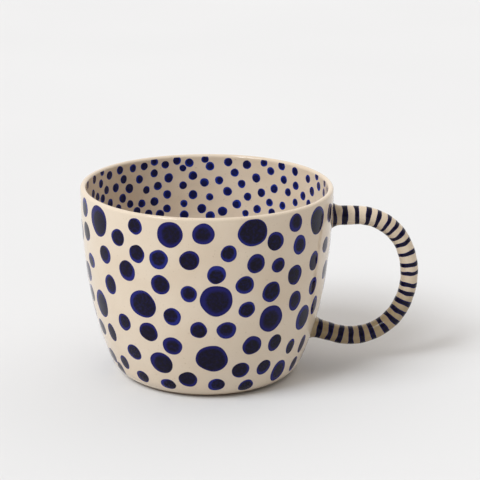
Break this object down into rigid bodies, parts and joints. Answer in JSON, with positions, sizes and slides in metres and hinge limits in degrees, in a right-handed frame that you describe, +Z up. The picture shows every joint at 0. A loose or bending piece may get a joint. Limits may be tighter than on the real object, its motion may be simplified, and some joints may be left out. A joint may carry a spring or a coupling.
{
  "type": "mug",
  "caption": "Rounded, wide-mouthed stoneware mug with a round coiled ring handle, glazed cream inside and out over a bare clay foot.",
  "frame": {"origin": "centre of the foot, on the surface that the mug stands on", "axes": "+Z up through the mouth, +X from the cup's axis out through the handle"},
  "size_m": [0.1361, 0.1, 0.0766],
  "materials": {
    "bare_clay": "matt, unglazed fired stoneware",
    "wall_clay": "fired stoneware under glaze",
    "coil_clay": "fired stoneware under glaze",
    "inner_glaze": "glossy clear glaze over cream slip with small cobalt spots",
    "outer_glaze": "glossy clear glaze over cream slip with cobalt spots of three sizes",
    "handle_glaze": "glossy clear glaze over cream slip with painted cobalt bands",
    "joint_slip": "slip fillet under glossy glaze"
  },
  "bodies": {
    "root": {"base_slab": "bare_clay", "cup_wall": "wall_clay", "inner_glaze": "inner_glaze", "outer_glaze": "outer_glaze", "handle_coil": "coil_clay", "handle_glaze": "handle_glaze", "upper_joint": "joint_slip", "lower_joint": "joint_slip"}
  },
  "joints": []
}
